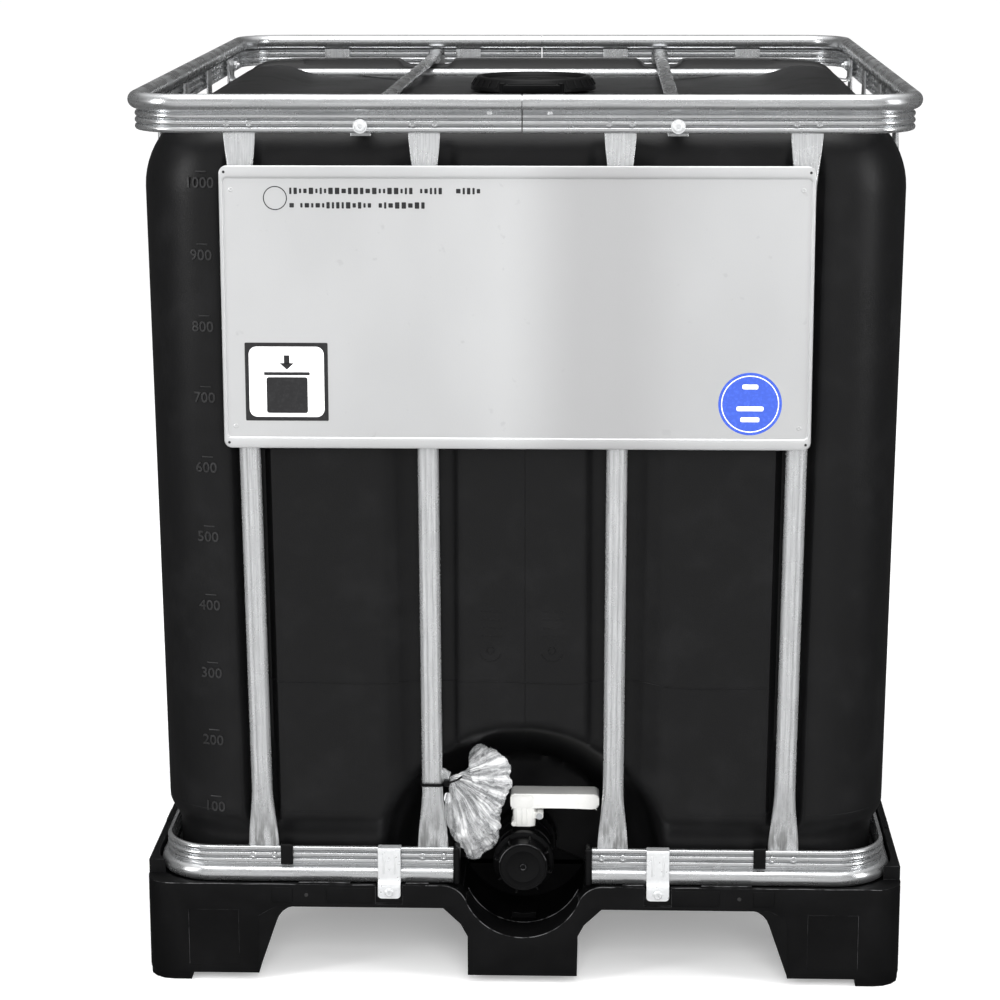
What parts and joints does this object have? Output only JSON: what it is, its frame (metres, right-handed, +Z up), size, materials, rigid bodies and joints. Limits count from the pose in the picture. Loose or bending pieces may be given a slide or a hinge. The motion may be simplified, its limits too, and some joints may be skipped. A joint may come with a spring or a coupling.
{
  "type": "intermediate bulk container",
  "caption": "Bulk liquid container: a black blow-moulded bottle with a screw lid and a bottom outlet valve, in a galvanised tube cage on a plastic pallet.",
  "frame": {"origin": "middle of the underside, on the floor, halfway between the outermost lines of the cage's top ring", "axes": "+Z up; the outlet valve and the label plate face -Y; +X is on the right of someone who faces them"},
  "size_m": [1, 1.2, 1.165],
  "materials": {
    "galvanised_steel": "satin galvanised",
    "plate_sheet": "bright rolled sheet",
    "bottle_black": "fine grained blow moulding",
    "black_moulding": "satin moulded plastic",
    "black_fitting": "satin moulded plastic",
    "white_moulding": "semi gloss moulded plastic",
    "grey_pin": "satin moulded plastic",
    "seal_rubber": "matte rubber",
    "clear_film": "crumpled clear polythene film"
  },
  "bodies": {
    "container": {"pallet": "black_moulding", "bottle": "bottle_black", "top_ring_left": "galvanised_steel", "top_ring_right": "galvanised_steel", "ring_splice_front": "galvanised_steel", "ring_splice_back": "galvanised_steel", "bottom_ring": "galvanised_steel", "ring_end_cap_left": "black_moulding", "ring_end_cap_right": "black_moulding", "front_bar_1": "galvanised_steel", "front_bar_2": "galvanised_steel", "front_bar_3": "galvanised_steel", "front_bar_4": "galvanised_steel", "back_bar_1": "galvanised_steel", "back_bar_2": "galvanised_steel", "back_bar_3": "galvanised_steel", "back_bar_4": "galvanised_steel", "left_bar_1": "galvanised_steel", "left_bar_2": "galvanised_steel", "left_bar_3": "galvanised_steel", "left_bar_4": "galvanised_steel", "right_bar_1": "galvanised_steel", "right_bar_2": "galvanised_steel", "right_bar_3": "galvanised_steel", "right_bar_4": "galvanised_steel", "cross_tube": "galvanised_steel", "cross_bolt_left": "galvanised_steel", "cross_bolt_right": "galvanised_steel", "top_bar_left": "galvanised_steel", "top_bar_right": "galvanised_steel", "top_bolt_front_left": "galvanised_steel", "top_bolt_back_left": "galvanised_steel", "top_bolt_front_right": "galvanised_steel", "top_bolt_back_right": "galvanised_steel", "valve_union_nut": "black_fitting", "valve_flange_seal": "seal_rubber", "valve_body": "black_fitting", "valve_stem_seal": "seal_rubber", "label_plate": "plate_sheet", "cage_clamp_front_left": "galvanised_steel", "cage_clamp_front_right": "galvanised_steel", "cage_clamp_back_left": "galvanised_steel", "cage_clamp_back_right": "galvanised_steel", "clamp_screw_front_left": "galvanised_steel", "clamp_screw_front_right": "galvanised_steel", "clamp_screw_back_left": "galvanised_steel", "clamp_screw_back_right": "galvanised_steel", "ring_clip_left": "black_moulding", "ring_clip_right": "black_moulding", "accessory_bag": "clear_film", "cable_tie": "black_moulding"},
    "lid_gasket": {"lid_gasket": "seal_rubber"},
    "lid": {"lid": "black_fitting"},
    "outlet_cap_seal": {"outlet_cap_seal": "seal_rubber"},
    "outlet_cap": {"outlet_cap": "black_fitting"},
    "valve_lever": {"valve_lever": "white_moulding", "valve_ball": "white_moulding"},
    "lever_lock_pin": {"lever_lock_pin": "grey_pin"}
  },
  "joints": [
    {"name": "lid_lift", "type": "slide", "parent": "container", "child": "lid_gasket", "axis": [0, 0, 1], "range_m": [0, 0.25]},
    {"name": "lid_turn", "type": "hinge", "parent": "lid_gasket", "child": "lid", "pos_m": [0, 0, 1.135], "axis": [0, 0, 1], "range_deg": [0, 540]},
    {"name": "cap_travel", "type": "slide", "parent": "container", "child": "outlet_cap_seal", "axis": [0, -1, 0], "range_m": [0, 0.018]},
    {"name": "cap_turn", "type": "hinge", "parent": "outlet_cap_seal", "child": "outlet_cap", "pos_m": [0, -0.55, 0.146], "axis": [0, -1, 0], "range_deg": [0, 1080]},
    {"name": "valve_lever", "type": "hinge", "parent": "container", "child": "valve_lever", "pos_m": [0, -0.495, 0.146], "axis": [0, 0, -1], "range_deg": [0, 90]},
    {"name": "lock_pin", "type": "slide", "parent": "valve_lever", "child": "lever_lock_pin", "axis": [0, -1, 0], "range_m": [0, 0.012]}
  ],
  "couplings": [
    {"joint": "cap_travel", "follows": "cap_turn", "m_per_rad": 0.00095493}
  ]
}
